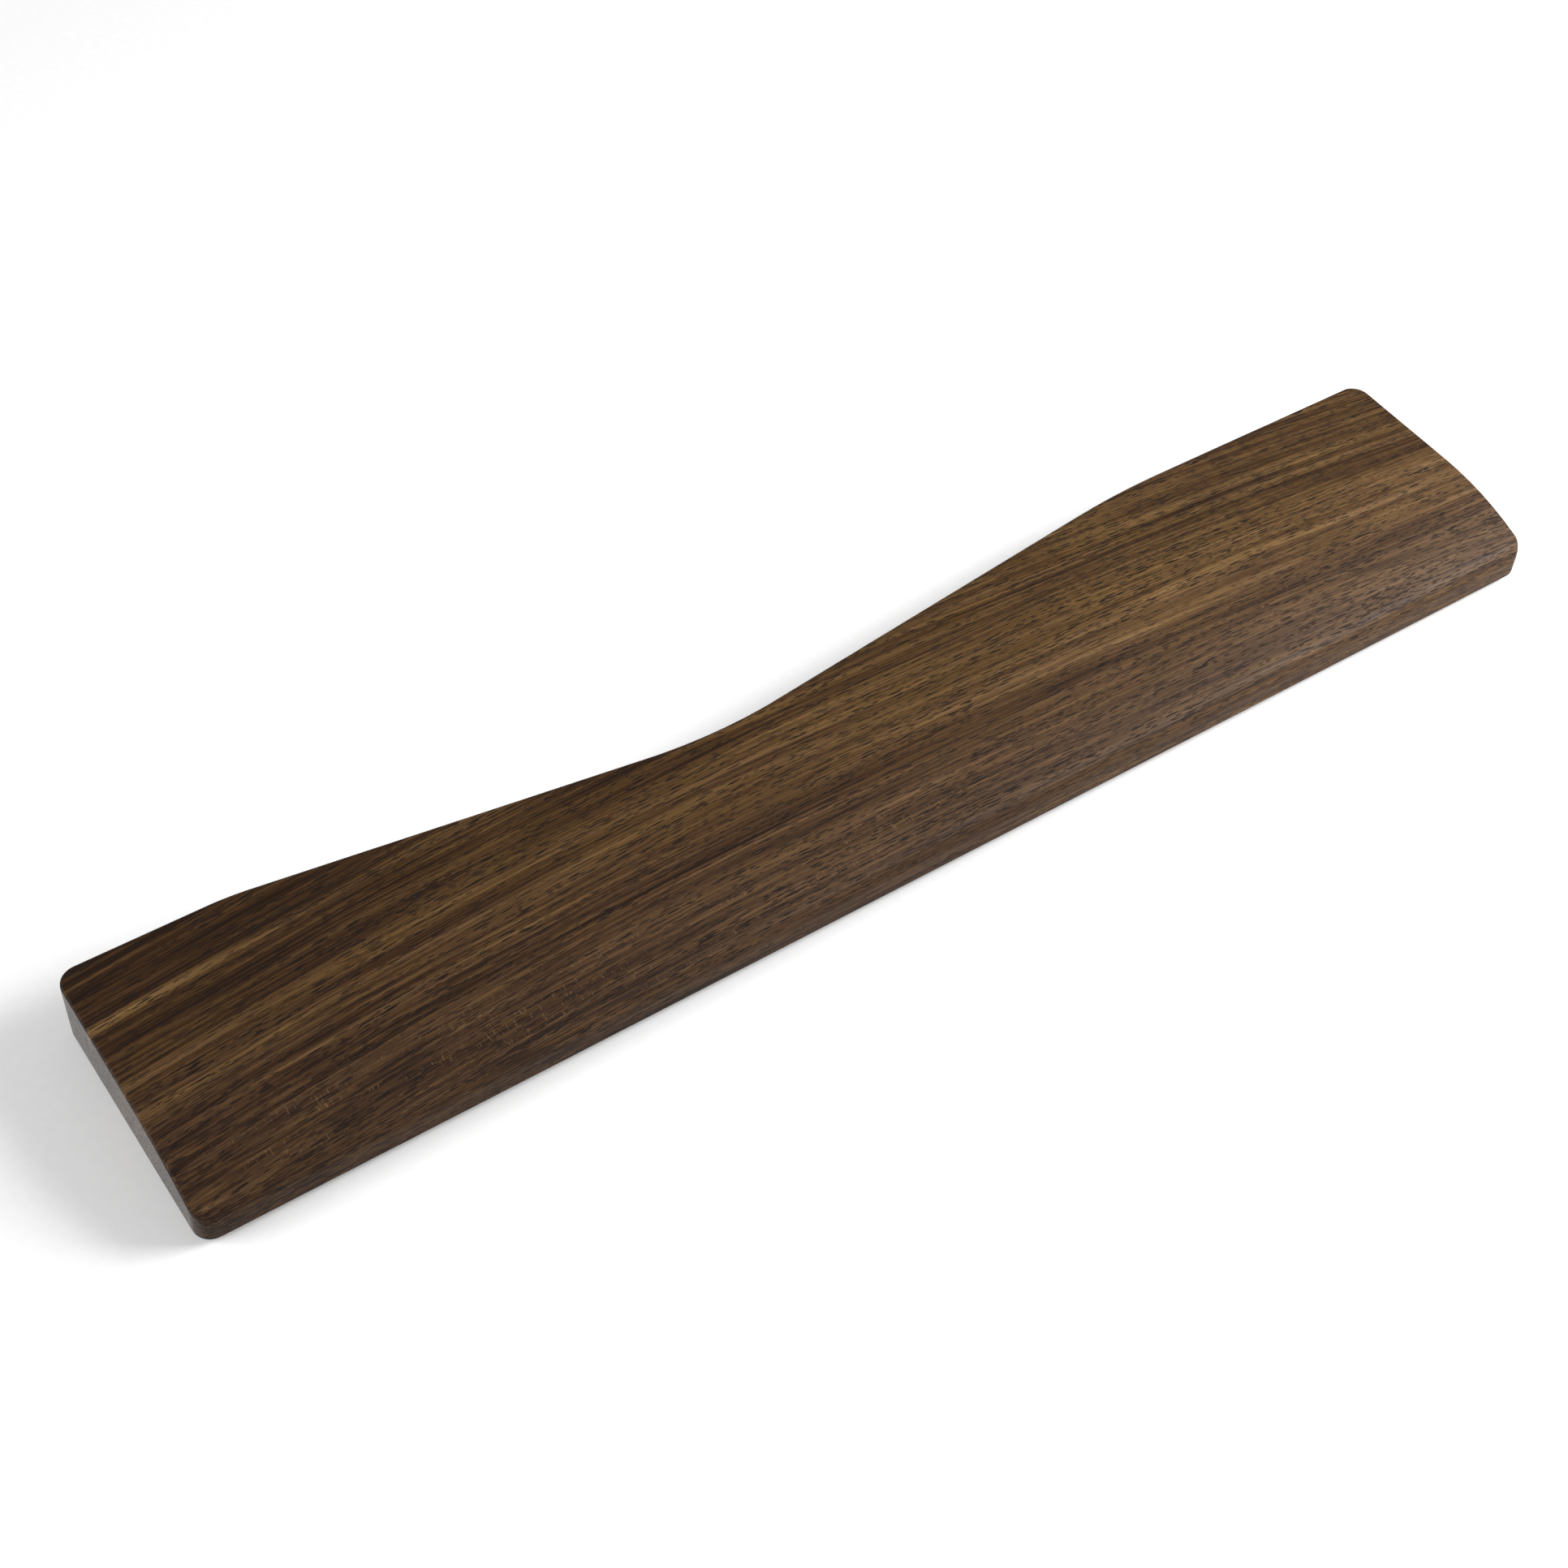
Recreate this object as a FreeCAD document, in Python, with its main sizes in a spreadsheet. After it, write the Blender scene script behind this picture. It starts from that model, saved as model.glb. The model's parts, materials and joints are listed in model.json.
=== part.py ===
import FreeCAD, Part
import math
import os

import Sketcher

# A one-piece walnut wrist rest for a split-angle keyboard, standing on six taped-in silicone feet.
# +X runs along the rest to the user's right, +Y from the user towards the keyboard, +Z up.
# The origin is on the desk, under the middle of the rest's bounding box. Lengths are millimetres
# and angles are degrees.

DIMENSIONS = [
    ("length", 400.0, "overall, left end to right end"),
    ("depth", 71.0, "front face to the back face beside the shoulders"),
    ("blank_height", 20.0, "thickness of the plank before its top is shaped"),
    ("back_height", 18.0, "thickness of the wood along the back"),
    ("front_height", 8.5, "where the top would meet the front face if that edge were sharp"),
    ("top_slope", 1.9, "fall of the flat part of the top towards the user"),
    ("top_radius", 85.0, "roll of the top down to the front face"),
    ("front_corner_radius", 4.5, "upright corners at the front"),
    ("back_corner_radius", 5.0, "upright corners at the back"),
    ("hollow_offset", 31.5, "middle of the hollow in the back edge, to the left of the origin"),
    ("hollow_depth", 16.0, "depth of that hollow from the back face"),
    ("hollow_radius", 150.0, "bottom of the hollow, in plan"),
    ("left_slant", 7.9, "angle of the hollow's left side to the back face"),
    ("right_slant", 6.9, "angle of the hollow's right side to the back face"),
    ("left_shoulder_radius", 75.0, "where the left side runs out into the back face"),
    ("right_shoulder_radius", 250.0, "where the right side runs out into the back face"),
    ("front_edge_radius", 5.0, "softened edge between the top and the front face"),
    ("arris_radius", 0.8, "broken edge between the top and the ends and back"),
    ("underside_radius", 1.0, "broken edge round the underside"),
    ("foot_radius", 6.0, "silicone foot"),
    ("foot_height", 2.3, "silicone foot, top to bottom"),
    ("foot_edge_radius", 0.7, "rounded edge of the foot beside the desk"),
    ("foot_proud", 1.5, "how far the feet hold the wood off the desk"),
    ("tape_radius", 5.6, "double-sided tape disc above each foot"),
    ("tape_height", 0.2, "thickness of that tape"),
    ("recess_radius", 6.2, "shallow recess that a foot sits in"),
    ("foot_end_inset", 16.0, "end of the rest to the middle of the nearest feet"),
    ("foot_edge_inset", 13.0, "front or back edge to the middle of the feet"),
]

LEFT_FEET_X = "-Sizes.length / 2 + Sizes.foot_end_inset"
MIDDLE_FEET_X = "-Sizes.hollow_offset"
RIGHT_FEET_X = "Sizes.length / 2 - Sizes.foot_end_inset"
FRONT_FEET_Y = "-Sizes.depth / 2 + Sizes.foot_edge_inset"
BACK_FEET_Y = "Sizes.depth / 2 - Sizes.foot_edge_inset"
HOLLOW_FOOT_Y = "Sizes.depth / 2 - Sizes.hollow_depth - Sizes.foot_edge_inset"

FEET = {
    "front_left": (LEFT_FEET_X, FRONT_FEET_Y),
    "front_middle": (MIDDLE_FEET_X, FRONT_FEET_Y),
    "front_right": (RIGHT_FEET_X, FRONT_FEET_Y),
    "back_left": (LEFT_FEET_X, BACK_FEET_Y),
    "back_middle": (MIDDLE_FEET_X, HOLLOW_FOOT_Y),
    "back_right": (RIGHT_FEET_X, BACK_FEET_Y),
}

# Sketcher's numbers for the ends and the middle of an edge, and for the sketch's own origin.
START, END, MIDDLE = 1, 2, 3
ORIGIN = -1

# How far the shape that cuts the top reaches past the wood, so that no faces coincide.
OVERRUN = 6.0
# Rough angle that the roll of the top turns through, for the sketch to start from.
ROLL_TURN = 30.0
NEAR = 1e-4


def make_sheet(doc):
    sheet = doc.addObject("Spreadsheet::Sheet", "Sizes")
    for row, (alias, value, note) in enumerate(DIMENSIONS, start=1):
        sheet.set(f"A{row}", alias)
        sheet.set(f"B{row}", str(value))
        sheet.set(f"C{row}", note)
        sheet.setAlias(f"B{row}", alias)
    doc.recompute()
    return sheet


def point(across, along):
    return FreeCAD.Vector(across, along, 0)


def line(start, end):
    return Part.LineSegment(point(*start), point(*end))


def arc(centre, radius, from_degrees, to_degrees):
    circle = Part.Circle(point(*centre), FreeCAD.Vector(0, 0, 1), radius)
    return Part.ArcOfCircle(circle, math.radians(from_degrees), math.radians(to_degrees))


def on_circle(centre, radius, degrees):
    angle = math.radians(degrees)
    return centre[0] + radius * math.cos(angle), centre[1] + radius * math.sin(angle)


def new_sketch(body, name, role):
    """An empty sketch on one of the body's own origin planes."""
    plane = next(feature for feature in body.Origin.OriginFeatures if feature.Role == role)
    sketch = body.newObject("Sketcher::SketchObject", name)
    sketch.AttachmentSupport = [(plane, "")]
    sketch.MapMode = "FlatFace"
    return sketch


def constrain(sketch, kind, *elements):
    return sketch.addConstraint(Sketcher.Constraint(kind, *elements))


def constrain_size(sketch, name, formula, kind, *elements_and_first_value):
    """A dimension of the sketch that follows the sheet from its first value on."""
    index = constrain(sketch, kind, *elements_and_first_value)
    sketch.renameConstraint(index, name)
    sketch.setExpression(f"Constraints.{name}", formula)


def shoulder_middle(sheet, radius, slant, side):
    """Middle of the arc that touches both the back face and one slanted side of the hollow."""
    angle = math.radians(slant)
    drop = radius + sheet.hollow_radius - sheet.hollow_depth
    along = (radius + sheet.hollow_radius - drop * math.cos(angle)) / math.sin(angle)
    return -sheet.hollow_offset + side * along, sheet.depth / 2 - radius


def draw_outline(sketch, sheet):
    """Plan of the wood: straight front, square ends, and one lopsided hollow in the back."""
    end = sheet.length / 2
    back = sheet.depth / 2
    front_r = sheet.front_corner_radius
    back_r = sheet.back_corner_radius
    hollow_r = sheet.hollow_radius
    left_r = sheet.left_shoulder_radius
    right_r = sheet.right_shoulder_radius
    left_a = sheet.left_slant
    right_a = sheet.right_slant
    hollow_middle = (-sheet.hollow_offset, back - sheet.hollow_depth + hollow_r)
    left_middle = shoulder_middle(sheet, left_r, left_a, -1)
    right_middle = shoulder_middle(sheet, right_r, right_a, 1)
    right_side_top = on_circle(right_middle, right_r, 90 + right_a)
    right_side_foot = on_circle(hollow_middle, hollow_r, 270 + right_a)
    left_side_foot = on_circle(hollow_middle, hollow_r, 270 - left_a)
    left_side_top = on_circle(left_middle, left_r, 90 - left_a)

    # Counter-clockwise from the front edge; the hollow is the only arc that bends the other way.
    edges = [
        line((-end + front_r, -back), (end - front_r, -back)),
        arc((end - front_r, -back + front_r), front_r, 270, 360),
        line((end, -back + front_r), (end, back - back_r)),
        arc((end - back_r, back - back_r), back_r, 0, 90),
        line((end - back_r, back), (right_middle[0], back)),
        arc(right_middle, right_r, 90, 90 + right_a),
        line(right_side_top, right_side_foot),
        arc(hollow_middle, hollow_r, 270 - left_a, 270 + right_a),
        line(left_side_foot, left_side_top),
        arc(left_middle, left_r, 90 - left_a, 90),
        line((left_middle[0], back), (-end + back_r, back)),
        arc((-end + back_r, back - back_r), back_r, 90, 180),
        line((-end, back - back_r), (-end, -back + front_r)),
        arc((-end + front_r, -back + front_r), front_r, 180, 270),
    ]
    front, front_right, right_end, back_right, right_back, right_shoulder, right_side = range(7)
    hollow, left_side, left_shoulder, left_back, back_left, left_end, front_left = range(7, 14)
    sketch.addGeometry(edges, False)

    for this in range(len(edges)):
        following = (this + 1) % len(edges)
        leaves = START if this == hollow else END
        arrives = END if following == hollow else START
        constrain(sketch, "Tangent", this, leaves, following, arrives)
    for level in (front, right_back, left_back):
        constrain(sketch, "Horizontal", level)
    for upright in (right_end, left_end):
        constrain(sketch, "Vertical", upright)

    radii = [
        ("front_right_corner", front_right, "Sizes.front_corner_radius", front_r),
        ("front_left_corner", front_left, "Sizes.front_corner_radius", front_r),
        ("back_right_corner", back_right, "Sizes.back_corner_radius", back_r),
        ("back_left_corner", back_left, "Sizes.back_corner_radius", back_r),
        ("right_shoulder", right_shoulder, "Sizes.right_shoulder_radius", right_r),
        ("left_shoulder", left_shoulder, "Sizes.left_shoulder_radius", left_r),
        ("hollow_bottom", hollow, "Sizes.hollow_radius", hollow_r),
    ]
    for name, edge, formula, value in radii:
        constrain_size(sketch, name, formula, "Radius", edge, value)

    half_length = "Sizes.length / 2"
    half_depth = "Sizes.depth / 2"
    constrain_size(sketch, "right_face", half_length, "DistanceX", ORIGIN, START, right_end, START, end)
    constrain_size(sketch, "left_face", half_length, "DistanceX", left_end, START, ORIGIN, START, end)
    constrain_size(sketch, "front_face", half_depth, "DistanceY", front, START, ORIGIN, START, back)
    constrain_size(sketch, "right_back_face", half_depth,
                   "DistanceY", ORIGIN, START, right_back, START, back)
    constrain_size(sketch, "left_back_face", half_depth,
                   "DistanceY", ORIGIN, START, left_back, START, back)
    constrain_size(sketch, "hollow_middle_x", "Sizes.hollow_offset",
                   "DistanceX", hollow, MIDDLE, ORIGIN, START, sheet.hollow_offset)
    constrain_size(sketch, "hollow_middle_y", "Sizes.depth / 2 - Sizes.hollow_depth + Sizes.hollow_radius",
                   "DistanceY", ORIGIN, START, hollow, MIDDLE, hollow_middle[1])
    constrain_size(sketch, "right_side_angle", "Sizes.right_slant - 180",
                   "Angle", right_side, math.radians(right_a - 180))
    constrain_size(sketch, "left_side_angle", "180 - Sizes.left_slant",
                   "Angle", left_side, math.radians(180 - left_a))


def draw_top_waste(sketch, sheet):
    """Wood taken off the top, seen from the right end: an almost flat top that rolls down in front."""
    edge = sheet.depth / 2
    reach = edge + OVERRUN
    roof = sheet.foot_proud + sheet.blank_height + OVERRUN
    back_top = sheet.foot_proud + sheet.back_height
    front_top = sheet.foot_proud + sheet.front_height
    slope = math.tan(math.radians(sheet.top_slope))
    radius = sheet.top_radius
    uphill = 90 + sheet.top_slope

    # The roll touches the flat top where its middle is one radius below the slope.
    flat_start = (0.0, back_top - slope * edge)
    roll_middle = on_circle(flat_start, radius, uphill + 180)
    roll_end = on_circle(roll_middle, radius, uphill + ROLL_TURN)
    edges = [
        line(flat_start, (reach, back_top + slope * OVERRUN)),
        line((reach, back_top + slope * OVERRUN), (reach, roof)),
        line((reach, roof), (-reach, roof)),
        line((-reach, roof), roll_end),
        arc(roll_middle, radius, uphill, uphill + ROLL_TURN),
        Part.Point(point(edge, back_top)),
        Part.Point(point(-edge, front_top)),
    ]
    flat, back_wall, ceiling, front_wall, roll, back_mark, front_mark = range(7)
    sketch.addGeometry(edges[:back_mark], False)
    sketch.addGeometry(edges[back_mark:], True)

    constrain(sketch, "Coincident", flat, END, back_wall, START)
    constrain(sketch, "Coincident", back_wall, END, ceiling, START)
    constrain(sketch, "Coincident", ceiling, END, front_wall, START)
    constrain(sketch, "Coincident", front_wall, END, roll, END)
    constrain(sketch, "Tangent", roll, START, flat, START)
    constrain(sketch, "Vertical", back_wall)
    constrain(sketch, "Vertical", front_wall)
    constrain(sketch, "Horizontal", ceiling)
    constrain(sketch, "PointOnObject", back_mark, START, flat)
    constrain(sketch, "PointOnObject", front_mark, START, roll)

    reach_formula = f"Sizes.depth / 2 + {OVERRUN}"
    constrain_size(sketch, "top_roll", "Sizes.top_radius", "Radius", roll, radius)
    constrain_size(sketch, "top_fall", "Sizes.top_slope", "Angle", flat, math.radians(sheet.top_slope))
    constrain_size(sketch, "behind", reach_formula, "DistanceX", ORIGIN, START, flat, END, reach)
    constrain_size(sketch, "in_front", reach_formula, "DistanceX", roll, END, ORIGIN, START, reach)
    constrain_size(sketch, "above", f"Sizes.foot_proud + Sizes.blank_height + {OVERRUN}",
                   "DistanceY", ORIGIN, START, ceiling, START, roof)
    constrain_size(sketch, "back_edge", "Sizes.depth / 2",
                   "DistanceX", ORIGIN, START, back_mark, START, edge)
    constrain_size(sketch, "back_top", "Sizes.foot_proud + Sizes.back_height",
                   "DistanceY", ORIGIN, START, back_mark, START, back_top)
    constrain_size(sketch, "front_edge", "Sizes.depth / 2",
                   "DistanceX", front_mark, START, ORIGIN, START, edge)
    constrain_size(sketch, "front_top", "Sizes.foot_proud + Sizes.front_height",
                   "DistanceY", ORIGIN, START, front_mark, START, front_top)


def pad_outline(body, sheet):
    """The plank, sawn to the outline and not yet shaped on top."""
    outline = new_sketch(body, "Outline", "XY_Plane")
    draw_outline(outline, sheet)
    outline.setExpression("AttachmentOffset.Base.z", "Sizes.foot_proud")
    pad = body.newObject("PartDesign::Pad", "Plank")
    pad.Profile = outline
    pad.setExpression("Length", "Sizes.blank_height")
    body.Document.recompute()


def cut_pocket(body, name, sketch, formula=None, **settings):
    """Cut with a sketch, and make sure that the cut took wood away."""
    before = body.Shape.Volume
    pocket = body.newObject("PartDesign::Pocket", name)
    pocket.Profile = sketch
    for setting, value in settings.items():
        setattr(pocket, setting, value)
    if formula:
        pocket.setExpression("Length", formula)
    body.Document.recompute()
    if not pocket.Shape.Volume < before:
        raise RuntimeError(f"{name} removes nothing")


def shape_top(body, sheet):
    waste = new_sketch(body, "TopWaste", "YZ_Plane")
    draw_top_waste(waste, sheet)
    cut_pocket(body, "ShapedTop", waste, Type="ThroughAll", SideType="Symmetric")


def cut_foot_recesses(body, sheet):
    """Six round recesses in the underside, as deep as the part of a foot that doesn't stand out."""
    circles = new_sketch(body, "RecessCircles", "XY_Plane")
    circles.setExpression("AttachmentOffset.Base.z", "Sizes.foot_proud")
    radius = sheet.recess_radius
    for number, (name, (across, along)) in enumerate(FEET.items()):
        circles.addGeometry(Part.Circle(point(0, 0), FreeCAD.Vector(0, 0, 1), radius), False)
        constrain_size(circles, f"{name}_radius", "Sizes.recess_radius", "Radius", number, radius)
        constrain_size(circles, f"{name}_x", across, "DistanceX", ORIGIN, START, number, MIDDLE, 0)
        constrain_size(circles, f"{name}_y", along, "DistanceY", ORIGIN, START, number, MIDDLE, 0)
    depth = "Sizes.foot_height + Sizes.tape_height - Sizes.foot_proud"
    cut_pocket(body, "FootRecesses", circles, depth, Reversed=True)


def lies_at(edge, level):
    box = edge.BoundBox
    return abs(box.ZMin - level) < NEAR and abs(box.ZMax - level) < NEAR


def soften_underside(body, sheet):
    """Break the outer edge of the underside; the mouths of the recesses stay sharp."""
    base = body.Tip
    names = [
        f"Edge{number}" for number, edge in enumerate(base.Shape.Edges, start=1)
        if lies_at(edge, sheet.foot_proud) and not edge.isClosed()
    ]
    fillet = body.newObject("PartDesign::Fillet", "SoftUnderside")
    fillet.Base = (base, names)
    fillet.setExpression("Radius", "Sizes.underside_radius")
    body.Document.recompute()


def is_upright_face(face):
    u_low, u_high, v_low, v_high = face.ParameterRange
    return abs(face.normalAt((u_low + u_high) / 2, (v_low + v_high) / 2).z) < NEAR


def is_rim(shape, edge, lowest):
    """Whether the edge is where the top meets one of the upright walls."""
    start = edge.valueAt(edge.FirstParameter)
    end = edge.valueAt(edge.LastParameter)
    runs_along_wall = math.hypot(end.x - start.x, end.y - start.y) > NEAR
    beside_wall = any(is_upright_face(face) for face in shape.ancestorsOfType(edge, Part.Face))
    return runs_along_wall and beside_wall and edge.BoundBox.ZMin > lowest


def soften_top(doc, body, sheet):
    """Round the rim of the top, broadly in front and finely elsewhere, blending at the front corners."""
    underside_top = sheet.foot_proud + sheet.underside_radius + NEAR
    corner_back = -sheet.depth / 2 + sheet.front_corner_radius - NEAR

    def radius_at(edge, parameter):
        is_in_front = edge.valueAt(parameter).y < corner_back
        return sheet.front_edge_radius if is_in_front else sheet.arris_radius

    rounded = doc.addObject("Part::Fillet", "SoftTop")
    rounded.Base = body
    rounded.Edges = [
        (number, radius_at(edge, edge.FirstParameter), radius_at(edge, edge.LastParameter))
        for number, edge in enumerate(body.Shape.Edges, start=1)
        if is_rim(body.Shape, edge, underside_top)
    ]
    doc.recompute()
    return rounded


def make_wood(doc, sheet):
    """The wood: a sawn plank with a shaped top, recesses for the feet and softened edges."""
    body = doc.addObject("PartDesign::Body", "Wood")
    pad_outline(body, sheet)
    shape_top(body, sheet)
    cut_foot_recesses(body, sheet)
    soften_underside(body, sheet)
    wood = soften_top(doc, body, sheet)
    wood.Label = "walnut_rest"
    return wood


def make_foot(doc, sheet, name, across, along):
    """A round silicone foot with a rounded lower edge, standing on the desk."""
    body = doc.addObject("PartDesign::Body", f"Foot_{name}")
    circle = new_sketch(body, f"FootCircle_{name}", "XY_Plane")
    radius = sheet.foot_radius
    circle.addGeometry(Part.Circle(point(0, 0), FreeCAD.Vector(0, 0, 1), radius), False)
    constrain(circle, "Coincident", 0, MIDDLE, ORIGIN, START)
    constrain_size(circle, "radius", "Sizes.foot_radius", "Radius", 0, radius)
    pad = body.newObject("PartDesign::Pad", f"FootDisc_{name}")
    pad.Profile = circle
    pad.setExpression("Length", "Sizes.foot_height")
    doc.recompute()
    low_edges = [
        f"Edge{number}" for number, edge in enumerate(pad.Shape.Edges, start=1) if lies_at(edge, 0)
    ]
    fillet = body.newObject("PartDesign::Fillet", f"FootEdge_{name}")
    fillet.Base = (pad, low_edges)
    fillet.setExpression("Radius", "Sizes.foot_edge_radius")
    body.Label = f"foot_{name}"
    body.setExpression("Placement.Base.x", across)
    body.setExpression("Placement.Base.y", along)
    return body


def make_tape(doc, name, across, along):
    """The double-sided tape disc that holds a foot to the ceiling of its recess."""
    tape = doc.addObject("Part::Cylinder", f"Tape_{name}")
    tape.Label = f"tape_{name}"
    tape.setExpression("Radius", "Sizes.tape_radius")
    tape.setExpression("Height", "Sizes.tape_height")
    tape.setExpression("Placement.Base.x", across)
    tape.setExpression("Placement.Base.y", along)
    tape.setExpression("Placement.Base.z", "Sizes.foot_height")
    return tape


def check(doc, parts):
    """Stop if any feature failed or any sub-part has no sound shape."""
    for feature in doc.Objects:
        if "Invalid" in feature.State or "Error" in feature.State:
            raise RuntimeError(f"{feature.Label} failed: {feature.State}")
    for part in parts:
        if part.Shape.isNull() or not part.Shape.isValid():
            raise RuntimeError(f"{part.Label} has no valid shape")


def main():
    doc = FreeCAD.newDocument("WristRest")
    sheet = make_sheet(doc)
    parts = [make_wood(doc, sheet)]
    for name, (across, along) in FEET.items():
        parts.append(make_foot(doc, sheet, name, across, along))
        parts.append(make_tape(doc, name, across, along))
    doc.recompute()
    check(doc, parts)
    os.makedirs("parts", exist_ok=True)
    for part in parts:
        part.Shape.exportStep(f"parts/{part.Label}.step")


main()
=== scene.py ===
import json
import math

import bpy
from mathutils import Matrix, Vector

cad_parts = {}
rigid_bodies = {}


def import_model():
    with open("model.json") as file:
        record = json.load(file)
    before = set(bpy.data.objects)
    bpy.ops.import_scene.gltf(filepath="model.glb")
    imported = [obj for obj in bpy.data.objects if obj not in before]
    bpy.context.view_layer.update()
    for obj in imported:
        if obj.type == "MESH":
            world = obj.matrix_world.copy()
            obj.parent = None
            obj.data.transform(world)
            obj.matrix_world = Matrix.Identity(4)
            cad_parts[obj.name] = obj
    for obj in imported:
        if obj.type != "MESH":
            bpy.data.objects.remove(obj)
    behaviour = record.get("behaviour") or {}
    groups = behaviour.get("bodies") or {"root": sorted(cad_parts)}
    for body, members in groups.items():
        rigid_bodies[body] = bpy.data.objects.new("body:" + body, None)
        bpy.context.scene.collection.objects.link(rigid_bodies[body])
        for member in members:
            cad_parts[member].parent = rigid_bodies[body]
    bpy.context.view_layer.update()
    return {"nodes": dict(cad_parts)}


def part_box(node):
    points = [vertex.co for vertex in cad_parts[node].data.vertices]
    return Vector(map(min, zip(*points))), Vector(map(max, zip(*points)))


# A walnut wrist rest on silicone feet, in metres, in the frame's own axes. Lengths inside the
# materials are millimetres, because grain, pores and flecks are that size.

# Blender's start-up file holds a cube, a lamp and a camera, which don't belong to the rest.
for leftover in list(bpy.data.objects):
    bpy.data.objects.remove(leftover)

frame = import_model()
wood_low, wood_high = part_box("walnut_rest")

MM = 1000.0
SILICONE_NODES = [name for name in frame["nodes"] if name.startswith("foot_")]
TAPE_NODES = [name for name in frame["nodes"] if name.startswith("tape_")]

# Where the camera stands: to the rest's left, looking down, with the horizon a little tilted.
VIEW_AZIMUTH = -37.3
VIEW_ELEVATION = 47.85
VIEW_ROLL = 3.74
VIEW_DISTANCE = 0.629
VIEW_AIM = Vector((-0.0188, 0.0082, wood_low.z))
LENS_MM = 57.12
SENSOR_MM = 36.0

# The grain rises from the left end, runs level a little left of the middle, and falls to the right.
ARCH_MIDDLE = -25.0
ARCH_LEFT = 0.00036
ARCH_RIGHT_FRONT = 0.00015
ARCH_RIGHT_BACK = 0.00010
# Below the top the growth rings curl forward, which sets the stripes of the front face.
RING_CURL = 0.025

# Tone of the growth rings, by distance across the grain from the front edge at the arch's middle.
RINGS = [
    (-9.0, 0.38), (-6.5, 0.24), (-4.5, 0.46), (-2.6, 0.30), (-0.5, 0.39), (9.0, 0.37), (14.5, 0.45),
    (17.6, 0.36), (20.2, 0.44), (21.6, 0.56), (22.2, 0.20), (23.8, 0.30), (25.4, 0.36), (29.4, 0.54),
    (31.2, 0.44), (32.8, 0.52), (35.2, 0.43), (37.2, 0.68), (38.4, 0.62), (40.0, 0.40), (42.4, 0.56),
    (46.4, 0.58), (48.4, 0.42), (51.6, 0.32), (54.0, 0.44), (55.6, 0.20), (58.6, 0.46), (60.8, 0.28),
    (63.2, 0.50), (64.6, 0.32), (71.0, 0.32), (80.0, 0.22),
]

# Albedo by tone, from the dark ring edges to the palest streaks: golden wood towards the back and
# redder wood towards the front.
GOLDEN_WOOD = [
    (0.00, (0.0120, 0.0046, 0.0014)),
    (0.22, (0.0350, 0.0150, 0.0043)),
    (0.45, (0.0650, 0.0328, 0.0095)),
    (0.70, (0.1100, 0.0600, 0.0190)),
    (1.00, (0.1900, 0.1100, 0.0380)),
]
RED_WOOD = [
    (0.00, (0.0125, 0.0053, 0.0026)),
    (0.22, (0.0355, 0.0163, 0.0070)),
    (0.45, (0.0650, 0.0328, 0.0138)),
    (0.70, (0.1050, 0.0566, 0.0250)),
    (1.00, (0.1750, 0.1010, 0.0500)),
]
PORE_COLOUR = (0.0080, 0.0040, 0.0024, 1.0)
# Pale colour of the ray flecks, also used for the painted glints.
FLECK_AND_GLINT_COLOUR = (0.150, 0.0900, 0.0500, 1.0)

# Streaks of lighter and darker wood, coarse to fine: length, width, detail, and how far each pushes
# the tone either way.
STREAKS = [
    (60.0, 7.0, 2.0, 0.16),
    (120.0, 1.5, 2.0, 0.38),
    (60.0, 0.60, 2.0, 0.44),
    (26.0, 0.32, 1.0, 0.34),
]
DARK_LINE_TONE = -0.12
GOLDEN_STREAK_TONE = 0.34
END_GRAIN_TONE = -0.10
# Lighter towards the right end: partly the wood's own tone, partly painted light from the right-hand
# softbox.
RIGHT_END_TONE_AND_PAINTED_LIGHT = 0.24
BASE_TONE = -0.13

# Open pores: length, width, how much of its cell each one fills, and how strongly it shows in the
# rings with the faintest pores and in the rings with the darkest.
PORES = [
    (7.5, 0.66, 0.33, 0.75, 1.00),
    (3.4, 0.54, 0.34, 0.40, 0.90),
]
HAIR_STRENGTH = 0.4
# A pore is solid out to this share of its reach, and then fades.
PORE_CORE = 0.7

# Parts of the plan that have a figure of their own, and the part with painted glints: from and to
# along the rest, from and to behind the front edge, and the length over which each fades along the
# rest.
RIPPLE_PATCH = (60.0, 230.0, 26.0, 90.0, 40.0)
FRONT_FLECK_PATCH = (-185.0, 10.0, 3.0, 15.0, 24.0)
MIDDLE_FLECK_PATCH = (30.0, 150.0, 18.0, 25.0, 20.0)
# Where the painted glints lie: pale specks that stand for highlights in the left half.
PAINTED_GLINT_PATCH = (-210.0, -10.0, -10.0, 60.0, 60.0)
# Across the rest a patch fades over this share of that length.
FADE_ACROSS = 0.25

# Satin oil on the wood. The ends take a higher polish, and a pore is duller than the wood round it.
OILED_ROUGHNESS = 0.52
END_POLISH = 0.32
PORE_DULLNESS = 0.12
OIL_SHEEN = 0.14
PORE_DEPTH_MM = 0.05

# Softboxes: name, place, width and power in watts. The right one skims the front roll.
SOFTBOXES = [
    ("softbox_right", (0.73, -0.37, 0.51), 0.5, 14.5),
    ("softbox_left", (-2.2, 0.6, 1.3), 2.0, 66.0),
]
DAYLIGHT = 0.30
FLOOR_HALF = 6.0


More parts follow.
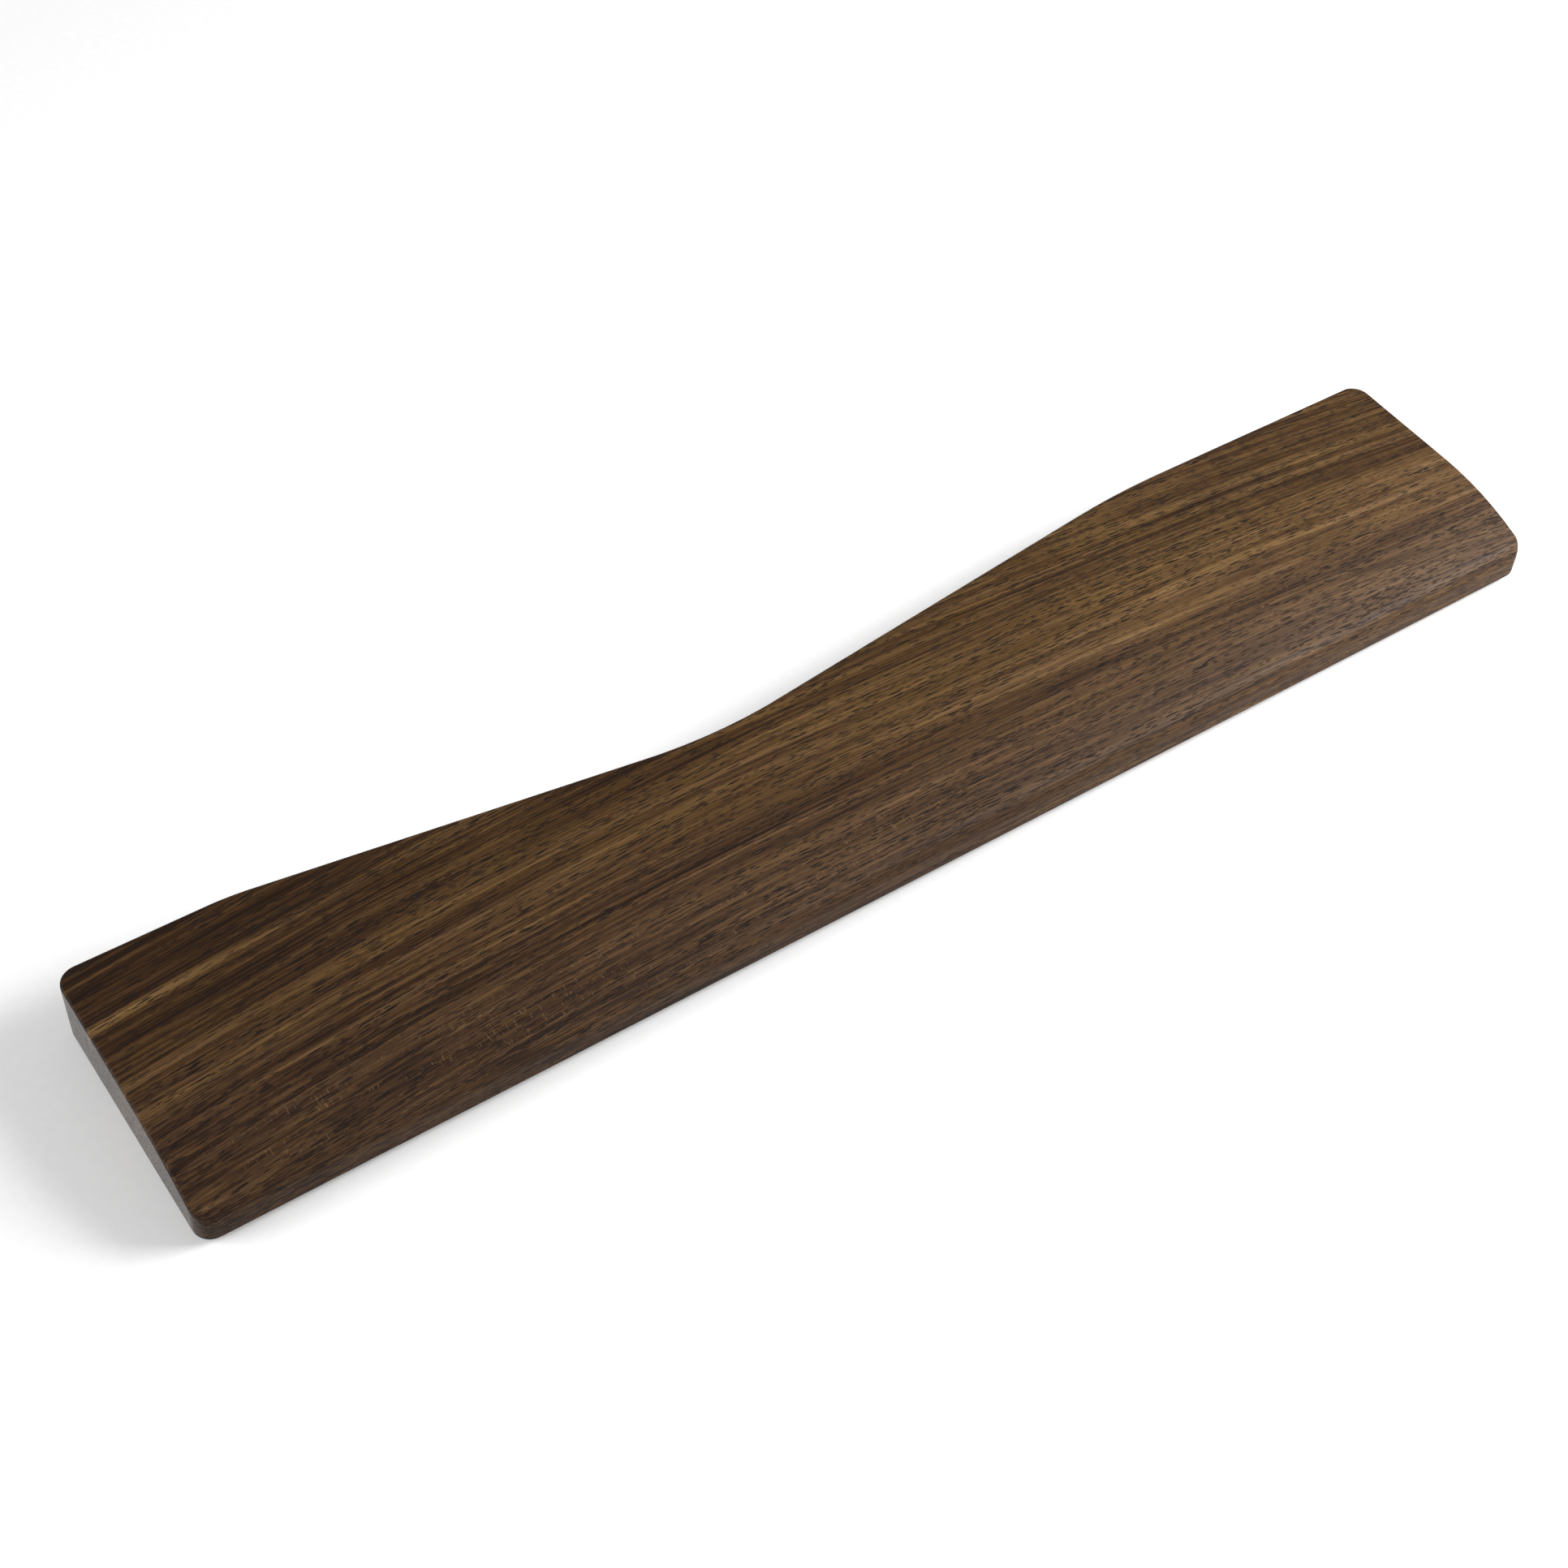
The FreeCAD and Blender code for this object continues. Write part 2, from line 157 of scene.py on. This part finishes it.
class Graph:
    """A material's node tree, with a short way to add each kind of node that is used here."""

    def __init__(self, name):
        self.material = bpy.data.materials.new(name)
        self.material.use_nodes = True
        self.tree = self.material.node_tree
        self.tree.nodes.clear()
        self.output = self.tree.nodes.new("ShaderNodeOutputMaterial")

    def node(self, kind, **settings):
        node = self.tree.nodes.new(kind)
        for setting, value in settings.items():
            setattr(node, setting, value)
        return node

    def feed(self, socket, value):
        if isinstance(value, bpy.types.NodeSocket):
            self.tree.links.new(value, socket)
        else:
            socket.default_value = value

    def math(self, operation, *values):
        node = self.node("ShaderNodeMath", operation=operation)
        for socket, value in zip(node.inputs, values):
            self.feed(socket, value)
        return node.outputs[0]

    def add(self, first, *others):
        for other in others:
            first = self.math("ADD", first, other)
        return first

    def times(self, first, *others):
        for other in others:
            first = self.math("MULTIPLY", first, other)
        return first

    def split(self, vector):
        parts = self.node("ShaderNodeSeparateXYZ")
        self.feed(parts.inputs[0], vector)
        return parts.outputs[0], parts.outputs[1], parts.outputs[2]

    def position(self):
        """Position in the rest's own frame, in millimetres, as x, y and z sockets."""
        place = self.node("ShaderNodeTexCoord").outputs["Object"]
        scaled = self.node("ShaderNodeVectorMath", operation="SCALE")
        self.feed(scaled.inputs[0], place)
        scaled.inputs["Scale"].default_value = MM
        return self.split(scaled.outputs[0])

    def stretch(self, x, y, z, sizes):
        """A texture position in which one unit is sizes millimetres along each direction."""
        joined = self.node("ShaderNodeCombineXYZ")
        for socket, value, size in zip(joined.inputs, (x, y, z), sizes):
            self.feed(socket, self.math("DIVIDE", value, size))
        return joined.outputs[0]

    def noise(self, place, detail=2.0):
        """Smooth noise about 0.5, with features one unit across."""
        node = self.node("ShaderNodeTexNoise")
        self.feed(node.inputs["Vector"], place)
        node.inputs["Scale"].default_value = 1.0
        node.inputs["Detail"].default_value = detail
        return node.outputs[0]

    def spots(self, place):
        """Distance to the nearest of many scattered points, one in each unit."""
        node = self.node("ShaderNodeTexVoronoi")
        self.feed(node.inputs["Vector"], place)
        node.inputs["Scale"].default_value = 1.0
        return node.outputs["Distance"]

    def step(self, value, low, high):
        """0 below low, 1 above high and smooth between; falling if low is above high."""
        node = self.node("ShaderNodeMapRange", interpolation_type="SMOOTHSTEP")
        self.feed(node.inputs["Value"], value)
        edges = (low, high, 0.0, 1.0) if low < high else (high, low, 1.0, 0.0)
        for socket, edge in zip(node.inputs[1:5], edges):
            socket.default_value = edge
        return node.outputs["Result"]

    def swing(self, value, amount):
        """Noise about 0.5 turned into a push of up to amount either way."""
        return self.times(self.math("SUBTRACT", value, 0.5), 2.0 * amount)

    def ramp(self, value, stops):
        """Stops are (place, grey level or colour); places may run over any range."""
        low, high = stops[0][0], stops[-1][0]
        node = self.node("ShaderNodeValToRGB")
        elements = node.color_ramp.elements
        while len(elements) < len(stops):
            elements.new(0.5)
        for element, (place, level) in zip(elements, stops):
            element.position = (place - low) / (high - low)
            colour = level if isinstance(level, tuple) else (level, level, level)
            element.color = (*colour, 1.0)
        self.feed(node.inputs[0], self.math("DIVIDE", self.math("SUBTRACT", value, low), high - low))
        return node.outputs[0]

    def mix(self, factor, base, other):
        node = self.node("ShaderNodeMix", data_type="RGBA")
        self.feed(node.inputs[0], factor)
        self.feed(node.inputs[6], base)
        self.feed(node.inputs[7], other)
        return node.outputs[2]

    def mottle(self, size, detail):
        """Noise in soft round patches of the given size."""
        return self.noise(self.stretch(*self.position(), (size, size, size)), detail)

    def two_shades(self, mottle, dark, light):
        """Dark and light by turns, blended where the mottle is between 0.3 and 0.7."""
        return self.ramp(mottle, [(0.3, dark), (0.7, light)])

    def bump(self, height, depth_mm):
        node = self.node("ShaderNodeBump")
        node.inputs["Distance"].default_value = depth_mm / MM
        self.feed(node.inputs["Height"], height)
        return node.outputs[0]

    def finish(self, colour, roughness, normal=None, **uniform):
        """The surface shader; uniform holds values that are the same all over it."""
        shader = self.node("ShaderNodeBsdfPrincipled")
        self.feed(shader.inputs["Base Color"], colour)
        self.feed(shader.inputs["Roughness"], roughness)
        if normal is not None:
            self.feed(shader.inputs["Normal"], normal)
        for socket, value in uniform.items():
            shader.inputs[socket.replace("_", " ")].default_value = value
        self.feed(self.output.inputs["Surface"], shader.outputs[0])
        return self.material


class Grain:
    """The wood's own directions: along the grain, across the growth rings, and up."""

    def __init__(self, graph):
        self.graph = graph
        self.x, self.y, self.z = graph.position()
        self.from_front = graph.math("SUBTRACT", self.y, wood_low.y * MM)
        self.across = self.ring_distance()

    def ring_distance(self):
        """Distance across the growth rings: the same all along each ring."""
        graph = self.graph
        along = graph.math("SUBTRACT", self.x, ARCH_MIDDLE)
        left = graph.math("MINIMUM", along, 0.0)
        right = graph.math("MAXIMUM", along, 0.0)
        depth = (wood_high.y - wood_low.y) * MM
        right_bend = graph.add(graph.times(self.from_front, ARCH_RIGHT_BACK / depth), ARCH_RIGHT_FRONT)
        arch = graph.add(graph.times(left, left, ARCH_LEFT), graph.times(right, right, right_bend))
        below_top = graph.math("SUBTRACT", self.z, wood_high.z * MM)
        curl = graph.times(below_top, below_top, -RING_CURL)
        straight = graph.add(self.from_front, arch, curl)
        wander = graph.noise(graph.stretch(self.x, straight, self.z, (80.0, 9.0, 9.0)), detail=1.0)
        return graph.add(straight, graph.swing(wander, 1.3))

    def cells(self, length, width):
        """A texture position with units of the given length along the grain and width across it."""
        return self.graph.stretch(self.x, self.across, self.z, (length, width, width))

    def noise(self, length, width, detail=2.0):
        """Streaks of the given length along the grain and width across it."""
        return self.graph.noise(self.cells(length, width), detail)

    def dashes(self, length, width, fill):
        """Scattered dashes along the grain: 1 inside and 0 outside, more of them as fill grows."""
        from_middle = self.graph.spots(self.cells(length, width))
        return self.graph.step(from_middle, fill, fill * PORE_CORE)

    def patch(self, x_from, x_to, y_from, y_to, fade):
        """1 inside a box on the plan of the rest, fading to 0 round its edges."""
        graph = self.graph
        fade_across = fade * FADE_ACROSS
        return graph.times(
            graph.step(self.x, x_from - fade, x_from + fade),
            graph.step(self.x, x_to + fade, x_to - fade),
            graph.step(self.from_front, y_from - fade_across, y_from + fade_across),
            graph.step(self.from_front, y_to + fade_across, y_to - fade_across),
        )


def wood_tone(graph, grain):
    """Lightness of the bare wood: growth rings, then streaks of ever finer size, and a rise towards
    the right end that is partly the wood's own tone and partly painted light.
    """
    tone = graph.ramp(grain.across, RINGS)
    for length, width, detail, push in STREAKS:
        tone = graph.add(tone, graph.swing(grain.noise(length, width, detail), push))
    dark_lines = graph.step(grain.noise(90.0, 0.8, detail=1.0), 0.58, 0.66)
    # Partly painted light: the tone rises towards the right end, part wood and part the light of the
    # right softbox painted into the colour.
    towards_right_wood_and_painted_light = graph.step(grain.x, -260.0, 160.0)
    return graph.add(
        tone,
        graph.times(dark_lines, DARK_LINE_TONE),
        graph.add(graph.times(towards_right_wood_and_painted_light, RIGHT_END_TONE_AND_PAINTED_LIGHT), BASE_TONE),
        graph.times(golden_streak(graph, grain), GOLDEN_STREAK_TONE),
    )


def golden_streak(graph, grain):
    """The bright streak with a sharp lower edge in the top of the left end."""
    lower_edge = graph.step(grain.across, 61.4, 62.2)
    upper_edge = graph.step(grain.across, 65.5, 63.5)
    left_end = graph.step(grain.x, -130.0, -185.0)
    depth = graph.math("SUBTRACT", wood_high.z * MM, grain.z)
    near_top = graph.step(depth, 6.0, 2.0)
    return graph.times(lower_edge, upper_edge, left_end, near_top)


def wood_colour(graph, grain, tone):
    """Golden wood at the back, redder in front, in streaks."""
    patches = graph.step(grain.noise(55.0, 3.2), 0.34, 0.66)
    towards_front = graph.step(grain.from_front, 52.0, 10.0)
    redness = graph.add(graph.times(patches, 0.45), graph.times(towards_front, 0.55))
    return graph.mix(redness, graph.ramp(tone, GOLDEN_WOOD), graph.ramp(tone, RED_WOOD))


def curl_ripple(graph, grain):
    """Faint cross-grain ripples towards the back of the right end."""
    ripple = grain.noise(2.6, 14.0, detail=1.0)
    return graph.times(graph.swing(ripple, 0.12), grain.patch(*RIPPLE_PATCH))


def ray_flecks(graph, grain):
    """Short pale ticks across the grain near the front of the left end, and a few in the middle."""
    ticks = graph.step(grain.noise(0.45, 2.2, detail=1.0), 0.58, 0.70)
    clusters = graph.step(grain.noise(26.0, 2.4), 0.50, 0.62)
    few_in_middle = graph.times(grain.patch(*MIDDLE_FLECK_PATCH), 0.6)
    region = graph.math("MAXIMUM", grain.patch(*FRONT_FLECK_PATCH), few_in_middle)
    return graph.times(ticks, clusters, region, 0.55)


def painted_glint_specks(graph, grain):
    """Tiny painted glints in the left half: pale specks in the colour that stand for highlights."""
    glints = graph.step(graph.spots(grain.cells(0.9, 0.5)), 0.2, 0.1)
    crowd = graph.step(grain.noise(40.0, 6.0), 0.48, 0.62)
    return graph.times(glints, crowd, grain.patch(*PAINTED_GLINT_PATCH), 0.5)


def open_pores(graph, grain):
    """Dark pores of two sizes and finer hairs, the pores darker in some rings than in others."""
    dark_rings = graph.step(grain.noise(60.0, 2.4), 0.34, 0.62)
    hairs = graph.step(grain.noise(14.0, 0.34, detail=1.0), 0.62, 0.68)
    pores = graph.times(hairs, HAIR_STRENGTH)
    for length, width, fill, faintest, darkest in PORES:
        strength = graph.add(graph.times(dark_rings, darkest - faintest), faintest)
        dashes = graph.times(grain.dashes(length, width, fill), strength)
        pores = graph.math("MAXIMUM", pores, dashes)
    return pores


def end_grain(graph):
    """1 on the sawn and polished ends of the rest, 0 elsewhere."""
    facing = graph.split(graph.node("ShaderNodeNewGeometry").outputs["Normal"])[0]
    return graph.step(graph.math("ABSOLUTE", facing), 0.6, 0.9)


def walnut():
    """Satin-oiled black walnut."""
    graph = Graph("walnut")
    grain = Grain(graph)
    ends = end_grain(graph)
    end_tone = graph.times(ends, END_GRAIN_TONE)
    tone = graph.add(wood_tone(graph, grain), curl_ripple(graph, grain), end_tone)
    pores = open_pores(graph, grain)
    # Pale marks: ray flecks in the wood, and painted glints that stand for highlights.
    pale = graph.math("MAXIMUM", ray_flecks(graph, grain), painted_glint_specks(graph, grain))
    colour = wood_colour(graph, grain, tone)
    colour = graph.mix(pale, colour, FLECK_AND_GLINT_COLOUR)
    colour = graph.mix(pores, colour, PORE_COLOUR)
    relief = graph.add(graph.times(pores, -1.0), graph.times(tone, 0.15))
    uneven_oil = graph.swing(grain.noise(30.0, 2.0), 0.05)
    oiled = graph.add(graph.times(pores, PORE_DULLNESS), uneven_oil, OILED_ROUGHNESS)
    roughness = graph.math("SUBTRACT", oiled, graph.times(ends, END_POLISH))
    normal = graph.bump(relief, PORE_DEPTH_MM)
    return graph.finish(colour, roughness, normal, Specular_IOR_Level=OIL_SHEEN)


def silicone():
    """Matt black silicone with a fine moulded grain."""
    graph = Graph("silicone")
    mottle = graph.mottle(1.6, detail=4.0)
    colour = graph.two_shades(mottle, (0.012, 0.012, 0.013), (0.026, 0.026, 0.028))
    roughness = graph.add(graph.swing(mottle, 0.08), 0.62)
    moulded_grain = graph.bump(graph.mottle(0.12, detail=2.0), depth_mm=0.02)
    return graph.finish(colour, roughness, moulded_grain)


def tape():
    """Milky double-sided tape."""
    graph = Graph("tape")
    mottle = graph.mottle(0.8, detail=3.0)
    colour = graph.two_shades(mottle, (0.52, 0.51, 0.47), (0.66, 0.65, 0.61))
    return graph.finish(colour, graph.add(graph.swing(mottle, 0.1), 0.45))


def studio_floor():
    """Plain pale studio paper."""
    graph = Graph("studio_floor")
    tooth = graph.mottle(2.5, detail=3.0)
    colour = graph.two_shades(tooth, (0.86, 0.86, 0.86), (0.88, 0.88, 0.88))
    return graph.finish(colour, graph.add(graph.swing(tooth, 0.04), 0.9), Specular_IOR_Level=0.0)


def dress(names, material):
    for name in names:
        mesh = frame["nodes"][name].data
        for slot in range(len(mesh.materials)):
            mesh.materials[slot] = material


def add_floor(half):
    mesh = bpy.data.meshes.new("studio_floor")
    corners = [(-half, -half, 0.0), (half, -half, 0.0), (half, half, 0.0), (-half, half, 0.0)]
    mesh.from_pydata(corners, [], [(0, 1, 2, 3)])
    mesh.materials.append(studio_floor())
    floor = bpy.data.objects.new("studio_floor", mesh)
    bpy.context.scene.collection.objects.link(floor)


def add_softbox(name, place, size, power):
    """A square soft light at the given place, looking at the rest."""
    lamp = bpy.data.lights.new(name, "AREA")
    lamp.shape = "SQUARE"
    lamp.size = size
    lamp.energy = power
    softbox = bpy.data.objects.new(name, lamp)
    softbox.location = Vector(place)
    softbox.rotation_euler = Vector(place).to_track_quat("Z", "Y").to_euler()
    bpy.context.scene.collection.objects.link(softbox)


def add_daylight(strength):
    world = bpy.data.worlds.new("studio")
    world.use_nodes = True
    background = world.node_tree.nodes["Background"]
    background.inputs["Color"].default_value = (1.0, 1.0, 1.0, 1.0)
    background.inputs["Strength"].default_value = strength
    bpy.context.scene.world = world


def add_camera():
    azimuth, elevation, roll = (math.radians(a) for a in (VIEW_AZIMUTH, VIEW_ELEVATION, VIEW_ROLL))
    back = Vector((
        math.sin(azimuth) * math.cos(elevation),
        -math.cos(azimuth) * math.cos(elevation),
        math.sin(elevation),
    ))
    level = Vector((math.cos(azimuth), math.sin(azimuth), 0.0))
    up = back.cross(level)
    side = level * math.cos(roll) + up * math.sin(roll)
    top = back.cross(side)
    turn = Matrix((side, top, back)).transposed().to_4x4()
    data = bpy.data.cameras.new("camera")
    data.lens = LENS_MM
    data.sensor_width = SENSOR_MM
    data.clip_start = 0.01
    camera = bpy.data.objects.new("camera", data)
    camera.matrix_world = Matrix.Translation(VIEW_AIM + back * VIEW_DISTANCE) @ turn
    bpy.context.scene.collection.objects.link(camera)
    bpy.context.scene.camera = camera


dress(["walnut_rest"], walnut())
dress(SILICONE_NODES, silicone())
dress(TAPE_NODES, tape())
add_floor(FLOOR_HALF)
for softbox in SOFTBOXES:
    add_softbox(*softbox)
add_daylight(DAYLIGHT)
add_camera()
bpy.context.scene.view_settings.view_transform = "Standard"
